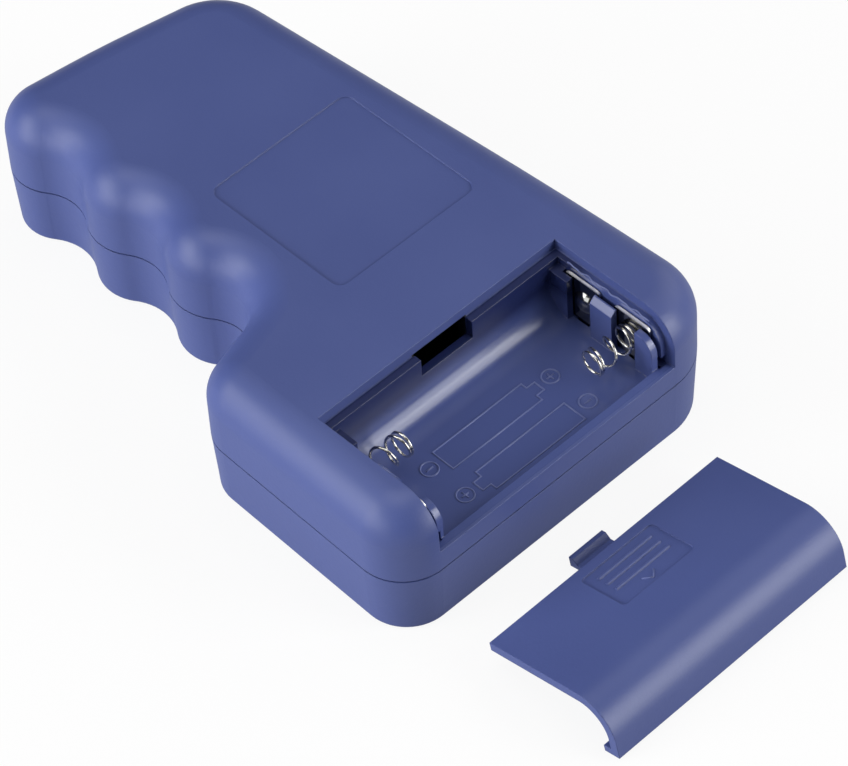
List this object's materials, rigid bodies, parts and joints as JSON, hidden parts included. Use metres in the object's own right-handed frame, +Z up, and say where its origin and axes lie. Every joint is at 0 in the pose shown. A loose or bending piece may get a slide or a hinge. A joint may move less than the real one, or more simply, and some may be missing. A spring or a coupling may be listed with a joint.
{
  "type": "handheld component tester",
  "caption": "Handheld tester housing with a finger-ridged grip, lying face down beside its lifted-off battery door, so the open battery bay with its coil springs and plates shows.",
  "frame": {"origin": "on the flat front face that the housing lies on, near the middle of the housing", "axes": "+X to the straight thumb side, +Y along the grip towards its tip, +Z up out of the back"},
  "size_m": [0.0731, 0.1585, 0.0275],
  "materials": {
    "blue_abs": "fine spark-textured ABS",
    "nickel_plate": "bright nickel on thin steel",
    "spring_wire": "bright nickel-plated wire",
    "board_laminate": "solder resist",
    "zinc_screw": "zinc plated",
    "copper_wire": "enamelled copper",
    "chip_moulding": "moulded epoxy",
    "tinned_metal": "tinned",
    "capacitor_can": "plain can",
    "ceramic_chip": "ceramic",
    "switch_moulding": "moulded nylon",
    "grey_button": "satin moulding",
    "red_lens": "diffused lens",
    "amber_lens": "diffused lens",
    "green_lens": "diffused lens",
    "red_lead": "soft vinyl",
    "black_lead": "soft vinyl"
  },
  "bodies": {
    "housing": {"rear_shell": "blue_abs", "front_shell": "blue_abs", "positive_contact": "nickel_plate", "negative_contact": "nickel_plate", "bridge_contact": "nickel_plate", "circuit_board": "board_laminate", "board_screws": "zinc_screw", "antenna_coil": "copper_wire", "coil_leads": "copper_wire", "microcontroller": "chip_moulding", "reader_chip": "chip_moulding", "chip_pins": "tinned_metal", "crystal": "tinned_metal", "capacitors": "capacitor_can", "chip_parts": "ceramic_chip", "sounder": "chip_moulding", "read_switch": "switch_moulding", "write_switch": "switch_moulding", "power_lamp": "red_lens", "busy_lamp": "amber_lens", "pass_lamp": "green_lens", "lamp_leads": "tinned_metal", "power_switch_body": "tinned_metal", "red_battery_lead": "red_lead", "black_battery_lead": "black_lead"},
    "battery_door": {"battery_door": "blue_abs"},
    "read_button": {"read_button": "grey_button", "read_plunger": "switch_moulding"},
    "write_button": {"write_button": "grey_button", "write_plunger": "switch_moulding"},
    "power_switch_lever": {"power_switch_lever": "switch_moulding"},
    "negative_spring": {"negative_spring": "spring_wire"},
    "bridge_spring": {"bridge_spring": "spring_wire"}
  },
  "joints": [
    {"name": "read_button_press", "type": "slide", "parent": "housing", "child": "read_button", "axis": [0, 0, 1], "range_m": [0, 0.0004], "stiffness_N_per_m": 50, "springref_m": -0.0006},
    {"name": "write_button_press", "type": "slide", "parent": "housing", "child": "write_button", "axis": [0, 0, 1], "range_m": [0, 0.0004], "stiffness_N_per_m": 50, "springref_m": -0.0006},
    {"name": "power_switch_slide", "type": "slide", "parent": "housing", "child": "power_switch_lever", "axis": [0, 1, 0], "range_m": [0, 0.002]},
    {"name": "battery_door_lift", "type": "slide", "parent": "housing", "child": "battery_door", "axis": [0, 0, 1], "range_m": [0, 0.04]},
    {"name": "negative_spring_press", "type": "slide", "parent": "housing", "child": "negative_spring", "axis": [1, 0, 0], "range_m": [0, 0.004], "stiffness_N_per_m": 40, "springref_m": -0.001, "deforming": ["negative_spring"]},
    {"name": "bridge_spring_press", "type": "slide", "parent": "housing", "child": "bridge_spring", "axis": [-1, 0, 0], "range_m": [0, 0.004], "stiffness_N_per_m": 40, "springref_m": -0.001, "deforming": ["bridge_spring"]}
  ]
}
